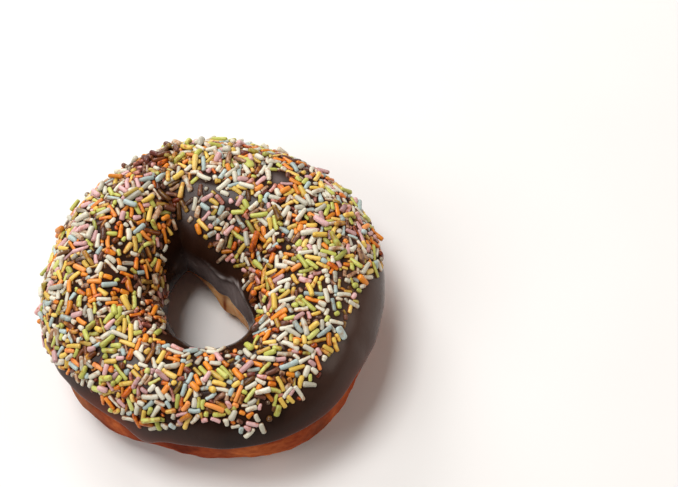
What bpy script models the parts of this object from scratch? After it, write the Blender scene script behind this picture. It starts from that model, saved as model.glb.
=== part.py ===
"""Sprinkle frosted ring doughnut: a fried dough ring under a chocolate icing cap.

The ring rests flat on the XY plane with +Z up. Lengths are in metres.
An angle "around" is measured about +Z from +X. An angle "section" goes round
the ring's own cross-section: 0 faces outward, 90 is the crown, 180 the hole.
"""
import bmesh
import bpy
from math import acos, atan2, copysign, cos, exp, log, pi, radians, sin, sqrt
from mathutils import Matrix, Vector

MM = 0.001

# The ring seen from above.
OUTER_RADIUS = 43.4 * MM
OUTER_WAVES = ((2, 0.92 * MM, 120.0), (3, 0.46 * MM, 40.0), (4, 0.65 * MM, 14.0))
OUTER_HOLLOWS = ((152.0, 30.0, 1.3 * MM), (114.0, 17.0, 2.2 * MM))
HOLE_CENTRE = Vector((-1.8 * MM, -2.6 * MM, 0.0))
HOLE_HALF_WIDTH = 13.0 * MM
HOLE_HALF_LENGTH = 16.4 * MM
HOLE_FLAT_DISTANCE = 5.2 * MM
HOLE_FLAT_AT = 29.0
HOLE_CORNER = 2.3 * MM

# The ring's cross-section.
CROWN_HEIGHT = 30.3 * MM
OUTER_WAIST = 15.0 * MM
INNER_WAIST = 11.5 * MM
FOOT_SINK = 2.0 * MM
FULLNESS = 0.93
LOWER_TUCK = 1.1

# The sloping side of the hole, where the dough's foot reaches furthest in.
SLOPE_AT = 35.0
SLOPE_WIDTH = 55.0
SLOPE_WAIST_DROP = 7.5 * MM
SLOPE_LEAN = 0.6

# Where the crust swells out below the icing: at, width and size.
OUTER_SWELLS = ((216.0, 21.0, 2.6 * MM), (291.0, 16.0, 1.6 * MM))
OUTER_SWELL_SECTION = -28.0
HOLE_SWELLS = ((62.0, 27.0, 1.0 * MM), (324.0, 24.0, 0.8 * MM))
HOLE_SWELL_SECTION = 192.0
SWELL_SECTION_WIDTH = 36.0

# The fold where the two ends of the dough met.
SEAM_DEPTH = 3.4 * MM
SEAM_AT = 101.0
SEAM_WIDTH = 16.0
SEAM_SECTION = 122.0
SEAM_SECTION_WIDTH = 42.0

# The icing cap.
ICING_GAP = 0.45 * MM
ICING_THICKNESS = 1.05 * MM
ICING_LIP = 0.3 * MM
ICING_THIN = 0.65
OUTER_EDGE = 2.0
INNER_EDGE = 187.0
INNER_EDGE_RISE = 21.0
INNER_EDGE_RISE_AT = 21.0
INNER_EDGE_RISE_REACH = 72.0

# Mesh divisions.
AROUND = 80
DOUGH_SECTION = 24
ICING_SECTION = 34
BLANK_RADIUS = 28.0 * MM
BLANK_SECTION = 12.0 * MM


def wave(around, count, height, at):
    """Ripple with the given number of crests, one of them at an angle."""
    return height * cos(count * (around - radians(at)))


def bump(angle, at, width):
    """Smooth hump of height 1 centred on an angle in degrees."""
    apart = (angle - radians(at) + pi) % (2.0 * pi) - pi
    return exp(-((apart / radians(width)) ** 2))


def shelf(angle, at, reach):
    """Flat-topped hump of height 1 that falls away beyond its reach."""
    apart = (angle - radians(at) + pi) % (2.0 * pi) - pi
    return 1.0 / (1.0 + (apart / radians(reach)) ** 8)


def outer_radius(around):
    """Radius of the ring's outside at its waist."""
    ripples = sum(wave(around, *each) for each in OUTER_WAVES)
    hollows = sum(deep * bump(around, at, width) for at, width, deep in OUTER_HOLLOWS)
    return OUTER_RADIUS + ripples - hollows


def hole_radius(around):
    """Radius of the hole about its own centre: an oval flattened on one side."""
    across = cos(around) / HOLE_HALF_WIDTH
    along = sin(around) / HOLE_HALF_LENGTH
    oval = 1.0 / sqrt(across ** 2 + along ** 2)
    lean = max(cos(around - radians(HOLE_FLAT_AT)), 0.12)
    flat = HOLE_FLAT_DISTANCE / lean
    blend = exp(-oval / HOLE_CORNER) + exp(-flat / HOLE_CORNER)
    return -HOLE_CORNER * log(blend)


def swell(around, section, swells, swell_section):
    """How far the crust swells out at a place on the ring."""
    size = sum(far * bump(around, at, width) for at, width, far in swells)
    return size * bump(section, swell_section, SWELL_SECTION_WIDTH)


def slope(around):
    """How much the hole's wall slopes: 1 at the sloping side, 0 far from it."""
    return bump(around, SLOPE_AT, SLOPE_WIDTH)


def seam_dip(around, section):
    """Depth of the fold at a place on the ring."""
    across = bump(around, SEAM_AT, SEAM_WIDTH)
    along = bump(section, SEAM_SECTION, SEAM_SECTION_WIDTH)
    return SEAM_DEPTH * across * along


def signed_power(value, power):
    """Power of a number that keeps its sign."""
    return copysign(abs(value) ** power, value)


def ring_point(around, section):
    """Place on the dough's surface."""
    out = cos(section)
    up = sin(section)
    waist = OUTER_WAIST
    fullness = FULLNESS
    if out < 0.0:
        waist = INNER_WAIST - SLOPE_WAIST_DROP * slope(around)
        fullness = FULLNESS + SLOPE_LEAN * slope(around)
    if up >= 0.0:
        reach = signed_power(out, fullness)
        height = waist + (CROWN_HEIGHT - waist) * up ** FULLNESS
        height -= seam_dip(around, section)
    else:
        reach = signed_power(out, LOWER_TUCK)
        height = waist - (waist + FOOT_SINK) * (-up) ** FULLNESS
    direction = Vector((cos(around), sin(around), 0.0))
    outer_swell = swell(around, section, OUTER_SWELLS, OUTER_SWELL_SECTION)
    hole_swell = swell(around, section, HOLE_SWELLS, HOLE_SWELL_SECTION)
    outside = direction * (outer_radius(around) + outer_swell)
    inside = HOLE_CENTRE + direction * (hole_radius(around) - hole_swell)
    place = inside.lerp(outside, (1.0 + reach) / 2.0)
    place.z = max(height, 0.0)
    return place


def ring_normal(around, section):
    """Outward direction of the dough's surface."""
    step = 0.01
    along = ring_point(around + step, section) - ring_point(around - step, section)
    across = ring_point(around, section + step) - ring_point(around, section - step)
    return along.cross(across).normalized()


def outer_edge(around):
    """Section angle of the icing's lower edge on the outside."""
    edge = OUTER_EDGE
    edge += 8.0 * bump(around, 255.0, 62.0)
    edge += 6.0 * bump(around, 284.0, 22.0)
    edge += 8.0 * bump(around, 315.0, 13.0)
    edge += 5.0 * bump(around, 213.0, 15.0)
    edge -= 10.0 * bump(around, 237.0, 5.0)
    edge -= 4.0 * bump(around, 10.0, 45.0)
    edge += wave(around, 9, 1.0, 20.0)
    edge += wave(around, 13, 0.7, 5.0)
    return radians(edge)


def inner_edge(around):
    """Section angle of the icing's lower edge in the hole."""
    edge = INNER_EDGE
    edge -= INNER_EDGE_RISE * shelf(around, INNER_EDGE_RISE_AT, INNER_EDGE_RISE_REACH)
    edge += wave(around, 5, 1.2, 60.0)
    return radians(edge)


def icing_place(around, section):
    """Icing surface point for one corner of the blank ring.

    The blank's upper half becomes the icing's face and its lower half the
    underside, so both halves run from the outer edge to the hole's edge.
    """
    turn = acos(max(-1.0, min(1.0, cos(section)))) / pi
    along = 0.5 * turn + 0.25 * (1.0 - cos(pi * turn))
    angle = outer_edge(around) + along * (inner_edge(around) - outer_edge(around))
    lift = ICING_GAP
    if sin(section) >= 0.0:
        fill = (1.0 - abs(2.0 * along - 1.0) ** 8) ** 0.125
        lip = ICING_LIP * exp(-(along / 0.09) ** 2)
        thin = ICING_THIN * slope(around) * exp(-((1.0 - along) / 0.3) ** 2)
        lift += (ICING_THICKNESS * (1.0 - thin) + lip) * fill
    return ring_point(around, angle) + ring_normal(around, angle) * lift


def make_material(name, colour, roughness):
    """Plain shaded material."""
    material = bpy.data.materials.new(name)
    material.use_nodes = True
    shader = material.node_tree.nodes["Principled BSDF"]
    shader.inputs["Base Color"].default_value = (*colour, 1.0)
    shader.inputs["Roughness"].default_value = roughness
    shader.inputs["Metallic"].default_value = 0.0
    return material


def spin_blank(divisions):
    """Plain ring: a circle swept once round the Z axis."""
    mesh = bmesh.new()
    upright = Matrix.Rotation(radians(90.0), 4, "X")
    aside = Matrix.Translation((BLANK_RADIUS, 0.0, 0.0))
    bmesh.ops.create_circle(
        mesh, segments=divisions, radius=BLANK_SECTION, matrix=aside @ upright
    )
    bmesh.ops.spin(
        mesh,
        geom=mesh.verts[:] + mesh.edges[:],
        axis=(0.0, 0.0, 1.0),
        angle=2.0 * pi,
        steps=AROUND,
        use_merge=True,
    )
    return mesh


def make_ring(name, divisions, place, material):
    """Named body: a blank ring with every corner moved to its place."""
    mesh = spin_blank(divisions)
    for corner in mesh.verts:
        around = atan2(corner.co.y, corner.co.x)
        reach = sqrt(corner.co.x ** 2 + corner.co.y ** 2) - BLANK_RADIUS
        section = atan2(corner.co.z, reach)
        corner.co = place(around, section)
    bmesh.ops.recalc_face_normals(mesh, faces=mesh.faces[:])
    for face in mesh.faces:
        face.smooth = True
    data = bpy.data.meshes.new(name)
    mesh.to_mesh(data)
    mesh.free()
    data.materials.append(material)
    body = bpy.data.objects.new(name, data)
    bpy.context.scene.collection.objects.link(body)
    return body


def centre_on_origin(bodies):
    """Move all the bodies together so their box is centred over the origin."""
    places = [corner.co for body in bodies for corner in body.data.vertices]
    low = [min(place[axis] for place in places) for axis in range(3)]
    high = [max(place[axis] for place in places) for axis in range(3)]
    shift = Vector(
        (-(low[0] + high[0]) / 2.0, -(low[1] + high[1]) / 2.0, -low[2])
    )
    for body in bodies:
        body.data.transform(Matrix.Translation(shift))


def main():
    """Build the doughnut."""
    for old in list(bpy.data.objects):
        bpy.data.objects.remove(old)
    crust = make_material("fried_crust", (0.235, 0.085, 0.035), 0.55)
    chocolate = make_material("chocolate_icing", (0.040, 0.022, 0.016), 0.35)
    dough = make_ring("dough_ring", DOUGH_SECTION, ring_point, crust)
    icing = make_ring("chocolate_icing", ICING_SECTION, icing_place, chocolate)
    centre_on_origin([dough, icing])


main()
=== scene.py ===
# %% [markdown]
# # A sprinkle frosted doughnut
#
# The real thing is three materials on top of one another: a fried dough ring, a
# thin cap of chocolate icing, and a coat of pastel sugar strands that stuck to the
# icing while it was wet. This lesson makes them in that order, because each one
# lies on the last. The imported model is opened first: it says where everything goes.

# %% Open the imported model
from math import cos, pi, radians, sin

import bmesh
import bpy
import numpy as np
from mathutils import Matrix, Vector, noise


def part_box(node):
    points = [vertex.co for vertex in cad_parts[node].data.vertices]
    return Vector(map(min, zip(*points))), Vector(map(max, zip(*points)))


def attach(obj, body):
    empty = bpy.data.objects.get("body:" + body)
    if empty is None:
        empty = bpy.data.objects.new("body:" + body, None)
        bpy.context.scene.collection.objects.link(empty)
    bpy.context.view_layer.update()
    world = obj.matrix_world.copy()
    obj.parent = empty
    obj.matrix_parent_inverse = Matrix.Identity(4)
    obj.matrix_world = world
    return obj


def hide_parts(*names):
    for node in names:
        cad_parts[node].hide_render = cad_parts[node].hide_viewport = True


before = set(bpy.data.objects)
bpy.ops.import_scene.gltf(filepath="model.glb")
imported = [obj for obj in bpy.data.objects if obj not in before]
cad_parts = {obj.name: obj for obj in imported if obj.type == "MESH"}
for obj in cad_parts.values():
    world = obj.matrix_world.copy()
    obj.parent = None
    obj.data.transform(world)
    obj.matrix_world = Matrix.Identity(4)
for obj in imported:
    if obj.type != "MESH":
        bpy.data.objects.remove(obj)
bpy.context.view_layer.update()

# %% [markdown]
# ## The ring's shape
#
# A ring doughnut could be a plain torus, but a real one is never that even. Its
# outline wobbles, its hole is off centre and pushed flat on one side, and a fold
# runs over the crown where the two ends of the dough met. Each of those is one
# small function of two angles, so the same numbers can shape the dough, the icing
# and the place of every sprinkle. "Around" goes round the ring from +X. "Section"
# goes round its cross-section: 0 faces outward, 90 degrees is the crown, 180 the hole.

# %% Small curves that the shape is made of
MM = 0.001


def apart(angle, at):
    """Difference between two angles, wrapped to the short way round."""
    return (angle - radians(at) + pi) % (2.0 * pi) - pi


def bump(angle, at, width):
    """Smooth hump of height 1 at an angle in degrees."""
    return np.exp(-((apart(angle, at) / radians(width)) ** 2))


def shelf(angle, at, reach):
    """Flat-topped hump of height 1 that falls away beyond its reach."""
    return 1.0 / (1.0 + (apart(angle, at) / radians(reach)) ** 8)


def wave(angle, count, height, at):
    """Ripple with that many crests, one of them at an angle."""
    return height * np.cos(count * (angle - radians(at)))


# %% The ring from above
OUTER_RADIUS = 43.4 * MM
HOLE_CENTRE = np.array((-1.8 * MM, -2.6 * MM, 0.0))
HOLE_HALF_WIDTH = 13.0 * MM
HOLE_HALF_LENGTH = 16.4 * MM
HOLE_FLAT_DISTANCE = 5.2 * MM
HOLE_FLAT_AT = 29
HOLE_CORNER = 2.3 * MM


def outer_radius(around):
    """Radius of the ring's outside."""
    ripples = wave(around, 2, 0.92 * MM, 120) + wave(around, 3, 0.46 * MM, 40)
    hollows = 1.3 * MM * bump(around, 152, 30) + 2.2 * MM * bump(around, 114, 17)
    return OUTER_RADIUS + ripples + wave(around, 4, 0.65 * MM, 14) - hollows


def hole_radius(around):
    """Radius of the hole: an oval flattened on one side."""
    across, along = np.cos(around) / HOLE_HALF_WIDTH, np.sin(around) / HOLE_HALF_LENGTH
    oval = 1.0 / np.sqrt(across ** 2 + along ** 2)
    lean = np.maximum(np.cos(around - radians(HOLE_FLAT_AT)), 0.12)
    flat = HOLE_FLAT_DISTANCE / lean
    blend = np.exp(-oval / HOLE_CORNER) + np.exp(-flat / HOLE_CORNER)
    return -HOLE_CORNER * np.log(blend)


# %% The ring in section
CROWN_HEIGHT = 30.3 * MM
OUTER_WAIST = 15.0 * MM
INNER_WAIST = 11.5 * MM
FOOT_SINK = 2.0 * MM
SLOPE_WAIST_DROP = 7.5 * MM
SLOPE_LEAN = 0.6
FULLNESS = 0.93
LOWER_TUCK = 1.1


def outer_swell(around, section):
    """How far the crust bulges out below the icing."""
    size = 2.6 * MM * bump(around, 216, 21) + 1.6 * MM * bump(around, 291, 16)
    return size * bump(section, -28, 36)


def hole_swell(around, section):
    """How far the crust bulges into the hole below the icing."""
    size = 1.0 * MM * bump(around, 62, 27) + 0.8 * MM * bump(around, 324, 24)
    return size * bump(section, 192, 36)


def seam_dip(around, section):
    """Depth of the fold where the ends of the dough met."""
    return 3.4 * MM * bump(around, 101, 16) * bump(section, 122, 42)


def ring_place(around, section):
    """Point on the dough, before the ring is set over the origin."""
    out, up = np.cos(section), np.sin(section)
    slope = bump(around, 35, 55)
    waist = np.where(out < 0, INNER_WAIST - SLOPE_WAIST_DROP * slope, OUTER_WAIST)
    fullness = np.where(out < 0, FULLNESS + SLOPE_LEAN * slope, FULLNESS)
    reach = np.sign(out) * np.abs(out) ** np.where(up >= 0, fullness, LOWER_TUCK)
    rise = np.abs(up) ** FULLNESS
    above = waist + (CROWN_HEIGHT - waist) * rise - seam_dip(around, section)
    height = np.where(up >= 0, above, waist - (waist + FOOT_SINK) * rise)
    share = ((1.0 + reach) / 2.0)[..., None]
    level = np.zeros_like(around)
    direction = np.stack([np.cos(around), np.sin(around), level], -1)
    outside = direction * (outer_radius(around) + outer_swell(around, section))[..., None]
    inside = (hole_radius(around) - hole_swell(around, section))[..., None]
    inside = HOLE_CENTRE + direction * inside
    place = inside + (outside - inside) * share
    place[..., 2] = np.maximum(height, 0.0)
    return place


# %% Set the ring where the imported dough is
def measure_shift():
    """Move that puts this ring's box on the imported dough's box."""
    around, section = np.meshgrid(np.linspace(-pi, pi, 721), np.linspace(-pi, pi, 481))
    place = ring_place(around, section).reshape(-1, 3)
    low, high = (np.array(corner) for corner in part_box("dough_ring"))
    return (low + high - place.min(0) - place.max(0)) / 2.0


RING_SHIFT = measure_shift()
print("ring moved by", (RING_SHIFT * 1000).round(2), "mm")


def ring_point(around, section):
    """Point on the dough."""
    return ring_place(around, section) + RING_SHIFT


def ring_normal(around, section, step=0.01):
    """Outward direction at a point on the dough."""
    along = ring_point(around + step, section) - ring_point(around - step, section)
    across = ring_point(around, section + step) - ring_point(around, section - step)
    normal = np.cross(along, across)
    return normal / np.linalg.norm(normal, axis=-1, keepdims=True)


# %% [markdown]
# ## A blank ring to shape
#
# Both the dough and the icing start as the same simple thing: one circle, stood
# upright beside the axis and swept once round with Spin. Every corner of that
# blank torus knows its two angles, so shaping it is only a matter of moving each
# corner to where the functions say. Spin leaves the last ring of corners on top of
# the first, so it is told to merge them.

# %% Spin the blank and read its angles
BLANK_RADIUS = 0.028
BLANK_THICKNESS = 0.012


def spin_blank(section_parts, around_parts):
    """Plain torus made by sweeping an upright circle once round."""
    mesh = bmesh.new()
    stand = Matrix.Translation((BLANK_RADIUS, 0, 0)) @ Matrix.Rotation(pi / 2, 4, "X")
    bmesh.ops.create_circle(mesh, segments=section_parts, radius=BLANK_THICKNESS,
                            matrix=stand)
    bmesh.ops.spin(mesh, geom=mesh.verts[:] + mesh.edges[:], axis=(0, 0, 1),
                   angle=2 * pi, steps=around_parts, use_merge=True)
    return mesh


def read_angles(mesh):
    """Around and section angle of every corner of a blank ring."""
    spots = np.array([corner.co[:] for corner in mesh.verts])
    reach = np.hypot(spots[:, 0], spots[:, 1]) - BLANK_RADIUS
    return np.arctan2(spots[:, 1], spots[:, 0]), np.arctan2(spots[:, 2], reach)


def relief(places, size, octaves=3, seed=0.0):
    """Soft noise between about -1 and 1 at each place; size is a lump's width."""
    offset = Vector((seed, -seed, 0.5 * seed))
    values = [noise.fractal(Vector(place) / size + offset, 0.8, 2.0, octaves)
              for place in places]
    return np.array(values)


# %% Turn a shaped mesh into a finished piece
def add_piece(name, mesh, material, stands_for=None):
    """Object at the origin that rides with the doughnut."""
    for face in mesh.faces:
        face.smooth = True
    data = bpy.data.meshes.new(name)
    mesh.to_mesh(data)
    mesh.free()
    data.materials.append(material)
    piece = bpy.data.objects.new(name, data)
    bpy.context.scene.collection.objects.link(piece)
    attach(piece, "root")
    if stands_for:
        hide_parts(stands_for)
    triangles = sum(len(face.vertices) - 2 for face in data.polygons)
    print(name, triangles, "triangles")
    return piece


# %% [markdown]
# ## Helpers for materials
#
# A finish is a small graph of nodes around one Principled shader. The same few
# moves come back each time: a noise read from Object coordinates, a ramp that
# turns it into colours, and a bump. Object coordinates are metres here, so a
# noise scale of 1000 has lumps about a millimetre wide.

# %% Node helpers
def start_material(name, roughness, **settings):
    """Principled material; uniform settings go straight onto its sockets."""
    material = bpy.data.materials.new(name)
    material.use_nodes = True
    shader = material.node_tree.nodes["Principled BSDF"]
    shader.inputs["Roughness"].default_value = roughness
    for socket, value in settings.items():
        shader.inputs[socket.replace("_", " ")].default_value = value
    return material, material.node_tree, shader


def add_noise(tree, scale, detail=3.0, distortion=0.0, stretch=(1, 1, 1)):
    """Noise read from Object coordinates."""
    place = tree.nodes.new("ShaderNodeTexCoord")
    turn = tree.nodes.new("ShaderNodeMapping")
    turn.inputs["Scale"].default_value = stretch
    grain = tree.nodes.new("ShaderNodeTexNoise")
    grain.inputs["Scale"].default_value = scale
    grain.inputs["Detail"].default_value = detail
    grain.inputs["Distortion"].default_value = distortion
    tree.links.new(place.outputs["Object"], turn.inputs["Vector"])
    tree.links.new(turn.outputs["Vector"], grain.inputs["Vector"])
    return grain.outputs["Fac"]


def add_ramp(tree, source, stops):
    """Colours or greys along a value; stops are (place, colour)."""
    ramp = tree.nodes.new("ShaderNodeValToRGB")
    points = ramp.color_ramp.elements
    while len(points) < len(stops):
        points.new(0.5)
    for point, (place, colour) in zip(points, stops):
        point.position = place
        point.color = (*colour, 1.0)
    tree.links.new(source, ramp.inputs["Fac"])
    return ramp.outputs["Color"]


def mix_colours(tree, factor, first, second, blend="MIX"):
    """Mix of two colours; each may be a socket or plain numbers."""
    mix = tree.nodes.new("ShaderNodeMix")
    mix.data_type = "RGBA"
    mix.blend_type = blend
    for socket, value in ((0, factor), (6, first), (7, second)):
        if isinstance(value, bpy.types.NodeSocket):
            tree.links.new(value, mix.inputs[socket])
        elif socket == 0:
            mix.inputs[socket].default_value = value
        else:
            mix.inputs[socket].default_value = (*value, 1.0)
    return mix.outputs[2]


def add_bump(tree, shader, source, strength, distance, below=None):
    """Bump from a value, over another bump if one is given."""
    node = tree.nodes.new("ShaderNodeBump")
    node.inputs["Strength"].default_value = strength
    node.inputs["Distance"].default_value = distance
    tree.links.new(source, node.inputs["Height"])
    if below:
        tree.links.new(below, node.inputs["Normal"])
    tree.links.new(node.outputs["Normal"], shader.inputs["Normal"])
    return node.outputs["Normal"]


def read_attribute(tree, name):
    """Value stored on the mesh."""
    node = tree.nodes.new("ShaderNodeAttribute")
    node.attribute_name = name
    return node.outputs["Fac"]


# %% [markdown]
# ## The dough ring
#
# Yeast dough fried in oil has a thin, taut crust: reddish brown on the outside, where
# the oil browned it longest, and paler and golden in the hole. Fine wrinkles and
# small blisters run all over it. A bump in the material would do for the wrinkles
# alone, but an outline that is truly uneven needs a moved surface, so the blank is
# cut finely enough for lumps and dents of a few tenths of a millimetre. The foot
# stays flat, because the doughnut rests on it.

# %% Shape the dough
DOUGH_PARTS = (112, 300)
FOOT_FREE = 1.5 * MM


def make_dough_mesh():
    """Fine dough ring with lumps and small dents, and the angles of its corners."""
    mesh = spin_blank(*DOUGH_PARTS)
    around, section = read_angles(mesh)
    places = ring_point(around, section)
    lumps = 0.30 * MM + 0.15 * MM * shelf(section, -30, 35)
    dents = lumps * relief(places, 8 * MM) + 0.07 * MM * relief(places, 2.4 * MM, 2, 7)
    free = np.clip(places[:, 2] / FOOT_FREE, 0, 1)
    places = places + ring_normal(around, section) * (dents * free)[:, None]
    places[:, 2] = np.maximum(places[:, 2], 0.0)
    for corner, place in zip(mesh.verts, places):
        corner.co = place
    bmesh.ops.recalc_face_normals(mesh, faces=mesh.faces[:])
    return mesh, (around, section)


# %% Finish for the fried crust
def make_crust_material():
    """Mottled reddish brown crust, golden where marked, darker at a torn spot and with
    painted shade along the icing's edge, with a thin film of oil.
    """
    material, tree, shader = start_material(
        "fried_crust", 0.5, Specular_IOR_Level=0.0, Coat_Weight=0.07, Coat_Roughness=0.32)
    broad = add_noise(tree, 75, 4, 0.7)
    patches = add_ramp(tree, broad, [(0.32, (0.150, 0.019, 0.005)),
                                     (0.50, (0.310, 0.050, 0.013)),
                                     (0.68, (0.540, 0.135, 0.036))])
    golden = add_ramp(tree, add_noise(tree, 240, 4, 0.5), [(0.35, (0.88, 0.40, 0.13)),
                                                           (0.65, (0.98, 0.66, 0.34))])
    fine = add_ramp(tree, add_noise(tree, 600, 5), [(0.36, (0.62, 0.42, 0.32)),
                                                    (0.58, (1.0, 1.0, 1.0))])
    colour = mix_colours(tree, 0.7, patches, fine, "MULTIPLY")
    colour = mix_colours(tree, read_attribute(tree, "golden"), colour, golden)
    # darker at a torn spot, and painted shade in a band along the icing's edge
    torn_and_shade = read_attribute(tree, "torn_and_shade")
    colour = mix_colours(tree, torn_and_shade, colour, (0.34, 0.13, 0.09), "MULTIPLY")
    tree.links.new(colour, shader.inputs["Base Color"])
    gloss = add_ramp(tree, add_noise(tree, 300), [(0.3, (0.38,) * 3),
                                                  (0.7, (0.62,) * 3)])
    tree.links.new(gloss, shader.inputs["Roughness"])
    wrinkles = add_bump(tree, shader, add_noise(tree, 420, 4, 0.8), 0.35, 0.0006)
    add_bump(tree, shader, add_noise(tree, 1800, 3), 0.15, 0.0002, wrinkles)
    return material


dough_mesh, dough_angles = make_dough_mesh()
crust = make_crust_material()
dough = add_piece("dough", dough_mesh, crust, "dough_ring")


# %% Mark where the crust stayed golden, and its painted shade
def store_value(piece, label, values):
    """Keep one number for each corner of a piece."""
    store = piece.data.attributes.new(label, "FLOAT", "POINT")
    store.data.foreach_set("value", np.clip(values, 0, 1).ravel())
    print(piece.name, label, "mean", round(float(np.mean(values)), 3))


def mark_crust(piece):
    """Store how golden the crust is, where it is torn, and the painted shade along the
    icing's edge.
    """
    around, section = dough_angles
    hole = (0.70 + 0.30 * bump(around, 80, 30)) * shelf(section, 182, 30)
    hole *= shelf(around, 20, 72)
    outside = 0.12 * bump(around, 207, 9)
    outside += 0.02 + 0.02 * np.sin(3 * around + 1.0) * np.sin(7 * around)
    store_value(piece, "golden", hole + outside * shelf(section, -8, 22))
    torn = bump(around, 42, 7) * bump(section, 176, 9)
    # painted shade: a dark band along the icing's lower edge
    below_edge = np.degrees(np.abs(section - outer_edge(around)))
    shade_line = 0.65 * np.exp(-((below_edge / 5.0) ** 2))
    store_value(piece, "torn_and_shade", torn + shade_line)


# %% [markdown]
# ## The icing cap
#
# Melted chocolate icing clings to the dough as a sheet about a millimetre and a
# half thick. Its lower edge wanders, swells into a soft bead, and in one place a
# drip ran further down. A Solidify modifier would give an even thickness with
# square edges, so the sheet is shaped from the same blank ring instead: the
# blank's upper half becomes the outer face and its lower half tucks just inside
# the dough, so that no gap shows under the lip.

# %% Where the icing ends
def outer_edge(around):
    """Section angle of the icing's edge on the outside."""
    edge = 2.0 + 8.0 * bump(around, 255, 62) + 6.0 * bump(around, 284, 22)
    edge += 8.0 * bump(around, 315, 13) + 5.0 * bump(around, 213, 15)
    edge -= 10.0 * bump(around, 237, 5) + 4.0 * bump(around, 10, 45)
    return np.radians(edge + wave(around, 9, 1.0, 20) + wave(around, 13, 0.7, 5))


def inner_edge(around):
    """Section angle of the icing's edge in the hole."""
    edge = 187.0 - 21.0 * shelf(around, 21, 72) + wave(around, 5, 1.2, 60)
    return np.radians(edge)


# %% How thick the icing is
ICING_DEPTH = 1.5 * MM


def fade(value, width):
    """0 below zero, rising smoothly to 1 at the width."""
    share = np.clip(value / width, 0, 1)
    return share * share * (3 - 2 * share)


def crease_line(around):
    """Section angle where the thick icing stops on the sloping side of the hole."""
    return np.radians(149.3 + 4.5 * bump(around, 58, 28))


def thin_run(around, section):
    """1 where the icing ran thin, low on the sloping side of the hole."""
    return shelf(around, 20, 62) * fade(section - crease_line(around), radians(4))


def icing_depth(around, section, along):
    """Height of the icing above the dough; along runs from 0 outside to 1 inside."""
    lip = 0.3 * MM * np.exp(-((along / 0.09) ** 2))
    gather = fade(section - radians(150), radians(16))
    thin = thin_run(around, section) * (0.55 - 0.45 * gather)
    return ICING_DEPTH * (1.0 - thin) + lip


def icing_point(around, section):
    """Point on the icing's face, away from its edges, with its soft unevenness."""
    start, end = outer_edge(around), inner_edge(around)
    along = np.clip((section - start) / (end - start), 0.0, 1.0)
    point, normal = ring_point(around, section), ring_normal(around, section)
    uneven = 0.16 * MM * np.sin(point[..., 0] * 410 + 2 * np.sin(point[..., 1] * 230))
    uneven *= np.sin(point[..., 1] * 350 + 1.3)
    depth = icing_depth(around, section, along) + uneven
    return point + normal * depth[..., None]


# %% Shape the icing
ICING_PARTS = (170, 340)
ICING_TUCK = 0.35 * MM
ROUNDED_SHARE = 0.024


def make_icing_mesh():
    """Icing cap with a rounded lip at both edges, and the angles of its corners."""
    mesh = spin_blank(*ICING_PARTS)
    around, section = read_angles(mesh)
    turn = np.arccos(np.clip(np.cos(section), -1, 1)) / pi
    along = 0.62 * turn + 0.19 * (1.0 - np.cos(pi * turn))
    start, end = outer_edge(around), inner_edge(around)
    angle = start + along * (end - start)
    on_face = np.sin(section) >= 0
    edge = np.minimum(along, 1.0 - along) / ROUNDED_SHARE
    rounding = np.sqrt(1.0 - (1.0 - np.clip(edge, 0, 1)) ** 2)
    dough_spot = ring_point(around, angle)
    face = icing_point(around, angle) - dough_spot
    tuck = -ICING_TUCK * ring_normal(around, angle)
    shaped = tuck + (face - tuck) * rounding[:, None]
    places = dough_spot + np.where(on_face[:, None], shaped, tuck)
    for corner, place in zip(mesh.verts, places):
        corner.co = place
    bmesh.ops.recalc_face_normals(mesh, faces=mesh.faces[:])
    return mesh, (around, angle)


# %% [markdown]
# ### Chocolate with painted reflections and sheen
#
# Set chocolate is nearly black with a satin skin, and its lower edge lets the red of
# the crust through. The rest of its look is painted light. A painted reflection of the
# pale floor, grey and streaked, lies low on the sloping side of the hole, low on the
# hole's back wall and on bare patches at the fold, and one bare patch holds a painted
# highlight. A painted sheen lightens a broad band on the right and leaves the front
# darker, and a thin painted highlight runs along the crease where the thick icing stops.
# Four numbers on the icing's corners say where each of these and the red edge go, and
# the finish mixes in a colour of its own for each. A thin clear coat gives the satin,
# because a strong plain gloss would turn the dark sides grey when seen from low down.

# %% Finish for the chocolate
def make_chocolate_material():
    """Dark satin chocolate, with painted reflections, sheen and highlight from the
    numbers on the icing.
    """
    material, tree, shader = start_material(
        "set_chocolate", 0.34, Specular_IOR_Level=0.04,
        Specular_Tint=(1.0, 0.82, 0.70, 1.0), Coat_Weight=0.24, Coat_Roughness=0.26)
    dark = add_ramp(tree, add_noise(tree, 120, 4, 0.5), [(0.35, (0.013, 0.0047, 0.0026)),
                                                         (0.70, (0.026, 0.0095, 0.0052))])
    # painted sheen: a lighter brown on the right band, none at the front
    plain = mix_colours(tree, read_attribute(tree, "painted_sheen"), dark, (0.125, 0.074, 0.058))
    # painted reflection of the pale floor as grey streaks, and a painted highlight where
    # the number is high
    reflection_streaks = add_ramp(tree, add_noise(tree, 420, 3, 0.3, (1.0, 0.16, 1.0)),
                       [(0.40, (0.095, 0.072, 0.068)), (0.62, (0.140, 0.110, 0.104)),
                        (0.72, (0.300, 0.245, 0.235))])
    colour = mix_colours(tree, read_attribute(tree, "painted_reflection"), plain, reflection_streaks)
    # painted highlight: a pale line along the crease
    colour = mix_colours(tree, read_attribute(tree, "painted_crease_highlight"), colour, (0.46, 0.40, 0.38))
    colour = mix_colours(tree, read_attribute(tree, "rim"), colour, (0.17, 0.032, 0.014))
    tree.links.new(colour, shader.inputs["Base Color"])
    gloss = add_ramp(tree, add_noise(tree, 160, 5, 0.4), [(0.35, (0.15,) * 3),
                                                          (0.68, (0.30,) * 3)])
    tree.links.new(gloss, shader.inputs["Roughness"])
    soft = add_bump(tree, shader, add_noise(tree, 130, 3, 0.4), 0.25, 0.0010)
    add_bump(tree, shader, add_noise(tree, 900, 4), 0.12, 0.0002, soft)
    return material


chocolate = make_chocolate_material()
icing_mesh, icing_angles = make_icing_mesh()
icing = add_piece("icing", icing_mesh, chocolate, "chocolate_icing")
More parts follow.
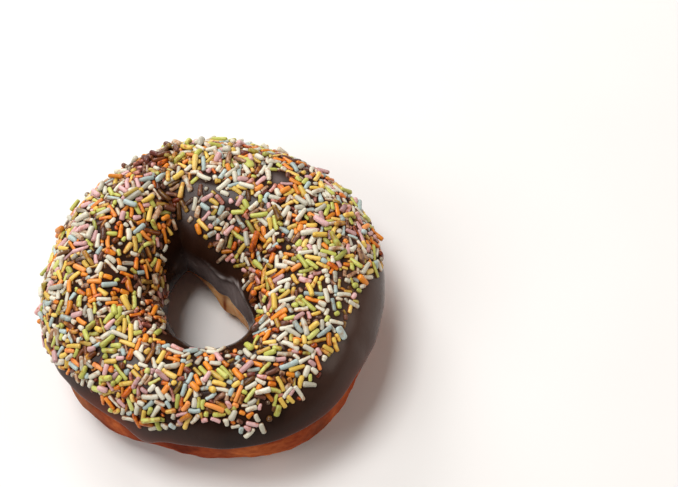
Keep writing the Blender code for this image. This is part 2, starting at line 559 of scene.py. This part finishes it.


# %% Mark the painted reflections, sheen and highlight on the icing
def mark_icing(piece):
    """Store the painted reflection, sheen and crease highlight on the icing, and how red
    it is at its lower edge.
    """
    around, section = icing_angles
    # painted reflection low in the hole and on bare patches at the fold, and a painted
    # highlight on one patch
    painted_reflection = 0.8 * thin_run(around, section)
    painted_reflection += 0.7 * bump(around, 106, 16) * bump(section, 168, 8)
    painted_reflection += 0.8 * bump(around, 91, 5) * bump(section, 114, 12)
    painted_reflection += 0.6 * bump(around, 86, 4) * bump(section, 98, 8)
    painted_reflection += 1.0 * bump(around, 44, 4.5) * bump(section, 70, 5)
    store_value(piece, "painted_reflection", painted_reflection)
    # painted sheen: strong on the right band, faint elsewhere, none at the front
    painted_sheen = 0.42 * bump(around, 339, 38) * bump(section, 32, 40)
    painted_sheen += 0.05 * shelf(section, 60, 50) * (1 - bump(around, 268, 34))
    store_value(piece, "painted_sheen", painted_sheen)
    # painted highlight in a thin broken line along the crease
    broken = 0.60 + 0.40 * np.sin(5 * around + 0.6) * np.sin(11 * around)
    from_crease = np.degrees(section - crease_line(around))
    painted_crease_highlight = 0.8 * shelf(around, 16, 50) * np.exp(-from_crease ** 2) * broken
    store_value(piece, "painted_crease_highlight", painted_crease_highlight)
    above_edge = np.degrees(section - outer_edge(around))
    reach = 4.0 + 9.0 * bump(around, 226, 12) + 2.0 * np.sin(5 * around)
    store_value(piece, "rim", 0.75 * np.exp(-np.maximum(above_edge, 0) / reach))


mark_icing(icing)
mark_crust(dough)

# %% [markdown]
# ## Dropping the sprinkles
#
# Sugar strands are poured over the wet icing, so they lie in every direction, nearly
# shoulder to shoulder, half sunk in the icing, with a few resting across others.
# Scattering rods at random would push them through one another. Here they are let
# fall over the icing and then nudged apart a little at a time until each has its own
# room, which is also what makes real strands line up in small bundles. First the
# icing is unrolled into a fine grid that answers "where is the icing here, and which
# way is up" quickly.

# %% Unroll the icing into a grid
AROUND_CELLS = 900
ACROSS_CELLS = 360
around_line = np.arange(AROUND_CELLS) * 2 * pi / AROUND_CELLS
section_line = np.linspace(radians(-30), radians(215), ACROSS_CELLS)
around_step = around_line[1] - around_line[0]
section_step = section_line[1] - section_line[0]
grid_around, grid_section = np.meshgrid(around_line, section_line, indexing="ij")
ground = icing_point(grid_around, grid_section)


def unit(vectors):
    """Vectors made one long."""
    return vectors / np.maximum(np.linalg.norm(vectors, axis=-1, keepdims=True), 1e-12)


def dot(first, second):
    """Dot products, row by row."""
    return (first * second).sum(-1)


run_around = (np.roll(ground, -1, 0) - np.roll(ground, 1, 0)) / (2 * around_step)
run_section = np.gradient(ground, section_step, axis=1)
stretch_around = np.linalg.norm(run_around, axis=-1)
stretch_section = np.linalg.norm(run_section, axis=-1)
east = unit(run_around)
upward = unit(np.cross(run_around, run_section))
north = np.cross(upward, east)


def read_icing(around, section):
    """Icing point, its east, north and up, and how far one radian reaches each way."""
    i = np.rint(around / around_step).astype(int)
    j = np.clip(np.rint((section - section_line[0]) / section_step).astype(int),
                0, ACROSS_CELLS - 1)
    slip_around, slip_section = around - i * around_step, section - section_line[j]
    i = i % AROUND_CELLS
    spot = (ground[i, j] + run_around[i, j] * slip_around[..., None]
            + run_section[i, j] * slip_section[..., None])
    reach = stretch_around[i, j], stretch_section[i, j]
    return spot, east[i, j], north[i, j], upward[i, j], reach


print("grid cells about", (stretch_around.mean() * around_step / MM).round(2), "mm")


# %% Where the sprinkles fell
def sprinkle_outer_limit(around):
    """Section angle of the lowest sprinkles on the outside."""
    edge = 8.0 + 47.0 * bump(around, 318, 46) + 25.0 * bump(around, 259, 12)
    edge += 13.0 * bump(around, 238, 22) + 20.0 * bump(around, 212, 14)
    edge += 8.0 * bump(around, 284, 6) - 6.0 * bump(around, 273.5, 3)
    edge += 3.5 * bump(around, 288, 24) - 19.0 * shelf(around, 3, 13)
    return np.radians(edge + wave(around, 11, 2.0, 30) * bump(around, 90, 70))


def sprinkle_inner_limit(around):
    """Section angle of the lowest sprinkles in the hole."""
    edge = 141.0 + 31.0 * bump(around, 157, 24) + 13.0 * bump(around, 198, 20)
    edge -= 20.0 * bump(around, 99, 15) + 27.0 * bump(around, 231, 12)
    edge -= 17.0 * bump(around, 250, 12) + 27.0 * bump(around, 285, 17)
    return np.radians(edge)


# %% How thickly they fell
# Bare and crowded patches: how much fewer or more, then angle and width in degrees,
# first around and then in section.
PATCHES = (
    (-0.62, 91, 9, 114, 20),
    (-0.40, 78, 14, 92, 14),
    (-0.55, 88, 5, 88, 15),
    (-0.97, 44, 6, 70, 9),
    (0.80, 95, 32, 62, 22),
    (-0.25, 160, 36, 122, 32),
)
EDGE_START, EDGE_WIDTH = radians(3), radians(6)
past_outer = grid_section - sprinkle_outer_limit(grid_around)
past_inner = sprinkle_inner_limit(grid_around) - grid_section
density = fade(past_outer + EDGE_START, EDGE_WIDTH)
density *= fade(past_inner + EDGE_START, EDGE_WIDTH)
for change, where_around, wide, where_section, tall in PATCHES:
    patch = change * bump(grid_around, where_around, wide)
    density *= 1.0 + patch * bump(grid_section, where_section, tall)
cell_area = stretch_around * around_step * stretch_section * section_step
field_area = float((density * cell_area).sum())
print("sprinkled area", round(field_area * 1e4, 1), "square centimetres")

# %% [markdown]
# ### Strands as rods
#
# While they settle, strands are only straight rods with round ends: a middle, a
# direction, a half length and a radius, held in arrays with one row for each strand.
# Most are about three millimetres long. A second, smaller lot of stubs lies almost
# drowned in the icing, in whatever gaps the others leave. The emptiest of several
# random places is taken for each one, which spreads them more evenly than chance.

# %% Choose where each one lands
rng = np.random.default_rng(21)
LYING, DROWNED = 1440, 700
STRANDS = LYING + DROWNED
TRIES = 8
drowned = np.arange(STRANDS) >= LYING


def spread_spots():
    """Grid cells for the strands: of several tries, the emptiest one each time."""
    chance = (density * cell_area).ravel()
    tries = rng.choice(chance.size, (STRANDS, TRIES), p=chance / chance.sum())
    places, room = ground.reshape(-1, 3), np.sqrt(density.ravel())
    chosen = [tries[0, 0]]
    for row in tries[1:]:
        gaps = np.linalg.norm(places[row][:, None] - places[chosen][None], axis=2).min(1)
        chosen.append(row[(gaps * room[row]).argmax()])
    return np.array(chosen)


# %% Let the strands fall
# Lengths and radii in millimetres; a drowned stub's are shares of an ordinary one's.
LENGTH, LENGTH_SPREAD = 3.3, 0.85
RADIUS, RADIUS_SPREAD = 0.65, 0.06
SNAPPED_SHARE = 0.24
DROWNED_LENGTH, DROWNED_RADIUS, DROWNED_ROOM = 0.62, 0.90, 0.6
lengths = np.clip(rng.normal(LENGTH, LENGTH_SPREAD, STRANDS), 1.5, 5.8) * MM
snapped = rng.random(STRANDS) < SNAPPED_SHARE
lengths[snapped] = rng.uniform(1.35, 2.3, snapped.sum()) * MM
radii = np.clip(rng.normal(RADIUS, RADIUS_SPREAD, STRANDS), 0.50, 0.82) * MM
lengths[drowned] *= DROWNED_LENGTH
radii[drowned] *= DROWNED_RADIUS
halves = lengths / 2
rooms = radii * np.where(drowned, DROWNED_ROOM, 1.0)
cells = spread_spots()
around_at = around_line[cells // ACROSS_CELLS]
around_at = around_at + rng.uniform(-0.5, 0.5, STRANDS) * around_step
section_at = section_line[cells % ACROSS_CELLS]
sink = radii * (rng.uniform(0.60, 1.1, STRANDS) + 0.30 * drowned)
spot, go_east, go_north, go_up, _ = read_icing(around_at, section_at)
turn = rng.uniform(0, 2 * pi, STRANDS)[:, None]
axes = np.cos(turn) * go_east + np.sin(turn) * go_north
fall_from = np.where(drowned, 0.0, rng.uniform(0.3, 2.2, STRANDS)) * MM
middles = spot + go_up * fall_from[:, None]
print(len(lengths), "strands, mean length", (lengths.mean() / MM).round(2), "mm")

# %% [markdown]
# ### Nudging them apart
#
# Each pass does three small things. Every strand sinks a little. Where two rods
# overlap, both are pushed out along the shortest way, at the place where they touch,
# so a strand can turn as well as slide. Where a rod is deeper than it should sink,
# the icing pushes it back. A push off the middle of a rod moves and turns it as it
# would a real one. The drowned stubs claim only part of their room, because icing
# hides where they run into a neighbour.

# %% Where two rods meet
def nearby_pairs(reach):
    """Pairs of strands near enough to touch."""
    gaps = np.linalg.norm(middles[:, None] - middles[None], axis=2)
    return np.nonzero(np.triu(gaps < reach[:, None] + reach[None], 1))


def nearest_stations(first, second):
    """Where two rods come nearest, as distances from each one's middle."""
    gap = middles[first] - middles[second]
    straight = halves - radii
    square = dot(axes[first], axes[second])
    near, far = dot(axes[first], gap), dot(axes[second], gap)
    one = (square * far - near) / (1.05 - square ** 2)
    one = np.clip(one, -straight[first], straight[first])
    two = np.clip(square * one + far, -straight[second], straight[second])
    one = np.clip(square * two - near, -straight[first], straight[first])
    return one, two


# %% One settling pass
TIGHTNESS = 0.97
PUSH_EASE = 0.55


def push_rods(rows, stations, pushes, moves, turns, counts):
    """Add a push at a place along each rod to that rod's move and turn."""
    lever = stations / halves[rows]
    give = pushes / (1.0 + 3.0 * lever ** 2)[:, None]
    np.add.at(moves, rows, give)
    np.add.at(turns, rows, give * (3.0 * lever / halves[rows])[:, None])
    np.add.at(counts, rows, 1.0)


def settle(pairs, fall):
    """Move every strand a little towards rest."""
    global middles, axes, around_at, section_at
    moves, turns = np.zeros_like(middles), np.zeros_like(middles)
    counts = np.zeros(STRANDS)
    first, second = pairs
    one, two = nearest_stations(first, second)
    gap = (middles[first] + one[:, None] * axes[first]
           - middles[second] - two[:, None] * axes[second])
    far = np.linalg.norm(gap, axis=1)
    overlap = TIGHTNESS * (rooms[first] + rooms[second]) - far
    hit = overlap > 0
    push = unit(gap[hit]) * (0.5 * overlap[hit])[:, None]
    push_rods(first[hit], one[hit], push, moves, turns, counts)
    push_rods(second[hit], two[hit], -push, moves, turns, counts)
    spot, go_east, go_north, go_up, reach = read_icing(around_at, section_at)
    rows = np.arange(STRANDS)
    for share in (-0.8, 0.0, 0.8):
        station = share * halves
        step = axes * station[:, None]
        under, _, _, up, _ = read_icing(around_at + dot(step, go_east) / reach[0],
                                        section_at + dot(step, go_north) / reach[1])
        short = radii - sink - dot(middles + step - under, up)
        deep = short > 0
        push_rods(rows[deep], station[deep], up[deep] * short[deep][:, None],
                  moves, turns, counts)
    ease = 1.0 / np.maximum(1.0, PUSH_EASE * counts)[:, None]
    middles = middles + moves * ease - go_up * fall
    turns -= axes * dot(turns, axes)[:, None]
    axes = unit(axes + turns * ease)
    shift = middles - spot
    around_at = around_at + dot(shift, go_east) / reach[0]
    section_at = section_at + dot(shift, go_north) / reach[1]
    return float(overlap[hit].mean() / MM)


# %% Settle the pile
PASSES = 150
NEW_PAIRS_EVERY = 5
FALL = 0.05 * MM
for count in range(PASSES):
    if count % NEW_PAIRS_EVERY == 0:
        pairs = nearby_pairs(halves * 1.1)
    left_over = settle(pairs, FALL * (1 - count / PASSES))
spot, _, _, go_up, _ = read_icing(around_at, section_at)
heights = np.percentile(dot(middles - spot, go_up), (5, 50, 95)) / MM
print("mean overlap left", round(left_over, 3), "mm")
print("middles above the icing: 5, 50 and 95 in a hundred below", heights.round(2), "mm")

# %% [markdown]
# ### Strands that stand proud
#
# Here and there a strand stuck by one end. A few of the settled ones are tipped up
# about their lower end, which stays in the icing.

# %% Tip a few up
TIPPED = 40


def tip_up(rows):
    """Raise one end of some strands."""
    global middles, axes
    up = read_icing(around_at[rows], section_at[rows])[3]
    foot = middles[rows] - axes[rows] * (halves[rows] * 0.9)[:, None]
    lean = np.radians(rng.uniform(10, 34, len(rows)))[:, None]
    axes[rows] = unit(axes[rows] * np.cos(lean) + up * np.sin(lean))
    middles[rows] = foot + axes[rows] * (halves[rows] * 0.9)[:, None]


tipped = rng.choice(LYING, TIPPED, replace=False)
tip_up(tipped)
print(len(tipped), "strands stand proud")

# %% [markdown]
# ### Strands that melted
#
# Two of them got wet: each spread into a flat drop of sugar over its neighbours. A
# drop takes the place of the settled strand that lies nearest to it.

# %% Spread two of them
# Colour of each drop: its two angles in degrees, its half length and radius in mm.
BLOBS = {"lime": (61, 67, 1.9, 1.35), "blue": (319, 60, 1.8, 1.05)}
BLOB_FLATNESS = 0.5
BLOB_LIFT = 0.45  # mm
flats = np.ones(STRANDS)
blob_rows = {}


def spread_blob(around, section, half, radius):
    """Turn the strand nearest to a place into a flat drop; returns its row."""
    place = read_icing(np.radians([around]), np.radians([section]))[0]
    row = np.linalg.norm(middles[:LYING] - place, axis=1).argmin()
    up = read_icing(around_at[[row]], section_at[[row]])[3][0]
    axes[row] = unit(axes[row] - up * dot(axes[row], up))
    middles[row] = middles[row] + up * BLOB_LIFT * MM
    halves[row], radii[row], flats[row] = half * MM, radius * MM, BLOB_FLATNESS
    return row


for name, (around, section, half, radius) in BLOBS.items():
    blob_rows[name] = spread_blob(around, section, half, radius)
print("melted strands", blob_rows)

# %% [markdown]
# ### One strand
#
# A sugar strand is extruded like pasta and snapped, so it is a short rod with
# rounded ends, rarely quite straight. It is repeated about two thousand times, so
# it gets only a few dozen faces: an eight-sided cylinder, beveled at both ends, with
# two cuts along it so that it can bend.

# %% Model the master strand
MASTER_HALF = 3.0


def climb(edge):
    """How far an edge rises from one end to the other."""
    return abs(edge.verts[0].co.z - edge.verts[1].co.z)


def make_master():
    """Rod of radius 1 that lies along Z."""
    mesh = bmesh.new()
    bmesh.ops.create_cone(mesh, cap_ends=True, segments=8, radius1=1, radius2=1,
                          depth=2 * MASTER_HALF)
    rims = [edge for edge in mesh.edges if climb(edge) < 1e-4]
    bmesh.ops.bevel(mesh, geom=rims, offset=0.55, offset_type="OFFSET", segments=2,
                    profile=0.5, affect="EDGES", material=-1)
    sides = [edge for edge in mesh.edges if climb(edge) > MASTER_HALF]
    bmesh.ops.subdivide_edges(mesh, edges=sides, cuts=2, use_grid_fill=True)
    bmesh.ops.recalc_face_normals(mesh, faces=mesh.faces[:])
    data = bpy.data.meshes.new("strand_master")
    mesh.to_mesh(data)
    mesh.free()
    return data


master = make_master()
master_spots = np.array([corner.co[:] for corner in master.vertices])
print("one strand has", len(master.polygons), "faces")

# %% Fit the master to every strand
tapers = rng.normal(0, 0.10, STRANDS)
waists = rng.normal(0.05, 0.07, STRANDS)
bends = rng.normal(0, 0.010, STRANDS) * lengths
rolls = rng.uniform(0, 2 * pi, STRANDS)


def strand_spots(row):
    """Corners of the master stretched, bent and laid along one strand."""
    station = master_spots[:, 2] / MASTER_HALF
    stretch = halves[row] - MASTER_HALF * radii[row]
    along = master_spots[:, 2] * radii[row] + stretch * np.clip(station * 1.5, -1, 1)
    girth = radii[row] * (1 + tapers[row] * station + waists[row] * (1 - station ** 2))
    bend = bends[row] * (1 - 3 * station ** 2)
    side = unit(np.cross(strand_up[row], axes[row]))
    over = np.cross(axes[row], side)
    c, s = cos(rolls[row]), sin(rolls[row])
    x, y = master_spots[:, 0] * girth, master_spots[:, 1] * girth
    across = (c * x - s * y + bend)[:, None] * side
    across += (s * x + c * y)[:, None] * over * flats[row]
    return middles[row] + along[:, None] * axes[row] + across


strand_up = read_icing(around_at, section_at)[3]
corners = np.stack([strand_spots(row) for row in range(STRANDS)])
print("corners of all the strands", corners.shape[0] * corners.shape[1])

# %% [markdown]
# ### Colours
#
# The mix is orange, yellow, lime, pink, pale blue and cream, all a little dusty.
# Wet icing creeps up the sides of whatever sinks into it, so every strand has a
# brown tide line near its foot, and some carry a film of icing all over. Strands on
# the side towards the hole get extra film as painted shade. Each colour becomes one
# joined piece. Two numbers ride on every corner: a tone that makes strands differ,
# and one that says how much chocolate and painted shade is there.

# %% Measure how near the icing each corner is, and add painted shade
TIDE_FROM, TIDE_HEIGHT = 0.05, 0.40  # mm
COATED_SHARE = 0.11


def measure_smear_and_shade():
    """Chocolate on every corner: a tide line near the icing plus a film, with painted
    shade added towards the hole.
    """
    spot, go_east, go_north, go_up, reach = read_icing(around_at, section_at)
    shift = corners - spot[:, None]
    under, _, _, up, _ = read_icing(
        around_at[:, None] + dot(shift, go_east[:, None]) / reach[0][:, None],
        section_at[:, None] + dot(shift, go_north[:, None]) / reach[1][:, None])
    clear = dot(corners - under, up) / MM
    tide = np.clip(1.0 - (clear - TIDE_FROM) / TIDE_HEIGHT, 0, 1)
    # painted shade: more film on strands past the crown, towards the hole
    inward_shade = 0.24 * fade(section_at - radians(102), radians(35))
    fold = np.maximum(bump(section_at, 112, 18), bump(section_at, 56, 15))
    messy = 0.95 * bump(around_at, 101, 8) * fold
    coated = (rng.random(STRANDS) < COATED_SHARE) * rng.uniform(0.30, 0.75, STRANDS)
    film_and_shade = rng.normal(0.03, 0.14, STRANDS) + coated + inward_shade + messy + 0.25 * drowned
    return np.clip(tide + np.clip(film_and_shade, 0, 0.9)[:, None], 0, 1)


smear_and_shade = measure_smear_and_shade()
tone = np.clip(rng.normal(0.5, 0.22, STRANDS), 0, 1)
print("mean chocolate on a strand", smear_and_shade.mean().round(2))

# %% Share out the colours
# Each colour's share of all the strands, then the colour itself.
COLOURS = {
    "orange": (0.13, (0.72, 0.235, 0.014)),
    "yellow": (0.17, (0.69, 0.465, 0.085)),
    "lime": (0.15, (0.48, 0.485, 0.10)),
    "pink": (0.13, (0.61, 0.355, 0.345)),
    "blue": (0.10, (0.39, 0.475, 0.45)),
    "cream": (0.32, (0.61, 0.57, 0.45)),
}
names = list(COLOURS)
shares = np.array([COLOURS[name][0] for name in names])
colour_of = rng.choice(len(names), STRANDS, p=shares / shares.sum())
for name, row in blob_rows.items():
    colour_of[row] = names.index(name)
print("strands of each colour", dict(zip(names, np.bincount(colour_of).tolist())))

# %% [markdown]
# ### Sugar with a film of chocolate
#
# A strand is dull sugar that lets a little light through. Its colour comes from a
# ramp over "tone", from a deeper to a paler shade of its own. The film of chocolate,
# with painted shade on strands towards the hole, comes from the second number plus a
# fine noise, so its border is ragged, and it multiplies the colour, as a thin brown layer
# does.

# %% Finish for a sugar strand
SMEAR_AND_SHADE_STRENGTH = 0.75


def make_strand_material(name, colour):
    """Satin sugar shell with a little chocolate film, and painted shade towards the hole.
    """
    material, tree, shader = start_material(
        "sugar_" + name, 0.36, Specular_IOR_Level=0.35, Subsurface_Weight=0.12,
        Subsurface_Radius=(0.9, 0.7, 0.5), Subsurface_Scale=0.0006)
    pale = tuple(0.07 + 0.97 * part for part in colour)
    deep = tuple(0.55 * part for part in colour)
    sugar = add_ramp(tree, read_attribute(tree, "tone"), [(0.0, deep), (0.5, colour),
                                                          (1.0, pale)])
    # chocolate film and painted shade, with a ragged border from noise
    film_and_shade = tree.nodes.new("ShaderNodeMath")
    film_and_shade.operation = "MULTIPLY_ADD"
    tree.links.new(read_attribute(tree, "smear_and_shade"), film_and_shade.inputs[0])
    film_and_shade.inputs[1].default_value = SMEAR_AND_SHADE_STRENGTH
    tree.links.new(add_noise(tree, 650, 4, 0.5), film_and_shade.inputs[2])
    film_and_shade_tint = add_ramp(tree, film_and_shade.outputs[0], [(0.60, (1.0, 1.0, 1.0)),
                                            (0.80, (0.72, 0.42, 0.27)),
                                            (1.00, (0.20, 0.070, 0.045))])
    coated = mix_colours(tree, 1.0, sugar, film_and_shade_tint, "MULTIPLY")
    tree.links.new(coated, shader.inputs["Base Color"])
    add_bump(tree, shader, add_noise(tree, 2600, 3), 0.18, 0.0001)
    return material


# %% Join each colour into one piece
def make_strand_piece(number):
    """All the strands of one colour as one joined piece."""
    name = names[number]
    rows = np.nonzero(colour_of == number)[0]
    mesh = bmesh.new()
    for _ in rows:
        mesh.from_mesh(master)
    for corner, place in zip(mesh.verts, corners[rows].reshape(-1, 3)):
        corner.co = place
    material = make_strand_material(name, COLOURS[name][1])
    piece = add_piece("sprinkles_" + name, mesh, material)
    store_value(piece, "tone", np.repeat(tone[rows], len(master_spots)))
    store_value(piece, "smear_and_shade", smear_and_shade[rows])
    return piece


sprinkles = [make_strand_piece(number) for number in range(len(names))]
bpy.data.meshes.remove(master)
print(len(sprinkles), "pieces of sprinkles")

# %% [markdown]
# ## Floor, light and camera
#
# A plain pale floor and large soft lamps suit food. The main lamp is high overhead,
# a little to the left and to the back, so light falls through the hole and the
# strands get soft tops. Three weaker ones, at the left, the back and the right, lift
# the shadows, and a dim warm room fills in the rest. The camera looks down at the
# ring with a long lens, and is turned aside so that the ring isn't in the middle.

# %% Floor
FLOOR_HALF = 1.2


def make_floor():
    """Pale floor, which isn't part of the doughnut."""
    mesh = bmesh.new()
    bmesh.ops.create_grid(mesh, x_segments=2, y_segments=2, size=FLOOR_HALF)
    data = bpy.data.meshes.new("floor")
    mesh.to_mesh(data)
    mesh.free()
    material, tree, shader = start_material("pale_floor", 0.7)
    shade = add_ramp(tree, add_noise(tree, 8), [(0.3, (0.74, 0.72, 0.70)),
                                                (0.7, (0.77, 0.75, 0.73))])
    tree.links.new(shade, shader.inputs["Base Color"])
    data.materials.append(material)
    floor = bpy.data.objects.new("floor", data)
    bpy.context.scene.collection.objects.link(floor)
    print("floor", 2 * FLOOR_HALF, "m across")


make_floor()


# %% Lamps
LAMP_TARGET = Vector((0, 0, 0.015))


def add_lamp(name, place, size, power, colour=(1, 1, 1)):
    """Square soft lamp that points at the doughnut."""
    data = bpy.data.lights.new(name, "AREA")
    data.size = size
    data.energy = power
    data.color = colour
    lamp = bpy.data.objects.new(name, data)
    lamp.location = place
    aim = LAMP_TARGET - Vector(place)
    lamp.rotation_euler = aim.to_track_quat("-Z", "Y").to_euler()
    bpy.context.scene.collection.objects.link(lamp)
    print(name, "lamp", round(aim.length, 2), "m away")


add_lamp("key", (-0.26, 0.17, 0.94), 0.42, 7.2)
add_lamp("left", (-0.72, -0.16, 0.62), 0.5, 3.4)
add_lamp("back", (-0.18, 0.80, 0.46), 0.4, 5.2)
add_lamp("right", (0.85, -0.20, 0.45), 0.5, 2.8, (1.0, 0.90, 0.82))

# %% The room's own light
ROOM_COLOUR = (1.0, 0.95, 0.89, 1)
ROOM_STRENGTH = 0.17
world = bpy.data.worlds.new("soft_room")
world.use_nodes = True
room = world.node_tree.nodes["Background"]
room.inputs["Color"].default_value = ROOM_COLOUR
room.inputs["Strength"].default_value = ROOM_STRENGTH
bpy.context.scene.world = world
bpy.context.scene.view_settings.view_transform = "Standard"

# %% Camera
CAMERA_DISTANCE = 0.346
CAMERA_RISE = radians(61.2)
CAMERA_ROLL = radians(11.2)
RING_MIDDLE = Vector((0, 0, 0.016))
RING_IN_VIEW = Vector((-0.0324, -0.0132, -0.346))


def add_camera():
    """Long lens from above, with the ring left of the middle."""
    data = bpy.data.cameras.new("camera")
    data.lens = 70
    data.sensor_width = 36
    data.clip_start = 0.01
    camera = bpy.data.objects.new("camera", data)
    back = Vector((0, -cos(CAMERA_RISE), sin(CAMERA_RISE)))
    right = Vector((1, 0, 0))
    up = back.cross(right)
    tilted_up = up * cos(CAMERA_ROLL) + right * sin(CAMERA_ROLL)
    tilted_right = tilted_up.cross(back)
    facing = Matrix((tilted_right, tilted_up, back)).transposed()
    swing = Vector((0, 0, -1)).rotation_difference(RING_IN_VIEW).to_matrix()
    turned = facing @ swing.transposed()
    place = RING_MIDDLE + back * CAMERA_DISTANCE
    camera.matrix_world = Matrix.Translation(place) @ turned.to_4x4()
    bpy.context.scene.collection.objects.link(camera)
    bpy.context.scene.camera = camera
    print("camera at", [round(part, 3) for part in place], "m")


add_camera()
